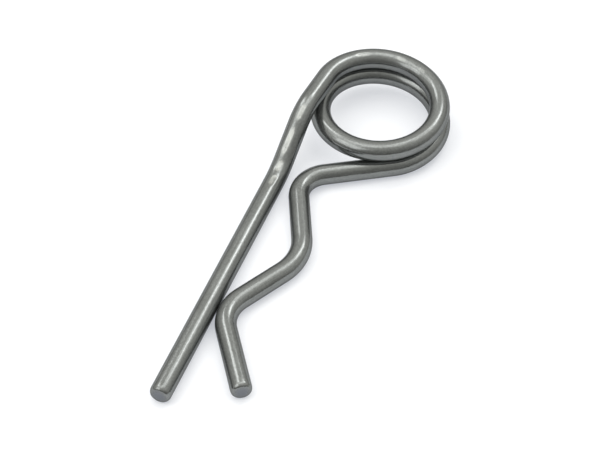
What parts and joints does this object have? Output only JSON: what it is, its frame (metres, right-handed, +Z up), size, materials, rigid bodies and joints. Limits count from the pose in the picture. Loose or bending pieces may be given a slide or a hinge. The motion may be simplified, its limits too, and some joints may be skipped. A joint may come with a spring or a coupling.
{
  "type": "hitch r clip pin",
  "caption": "Round spring wire bent into a clip: a straight leg, a close double coil as a finger eye, and a waved leg that snaps over a cross-drilled shaft.",
  "frame": {"origin": "on the coil's axis, at the surface that the clip lies on", "axes": "+X along the straight leg, from the coil towards the tips; +Z up, along the coil's axis"},
  "size_m": [0.0922, 0.0293, 0.0109],
  "materials": {
    "spring_steel": "bare drawn spring wire, satin bright, with fine lengthwise die lines and bright marks where the bending tools pressed"
  },
  "bodies": {
    "root": {"clip_wire": "spring_steel"}
  },
  "joints": []
}
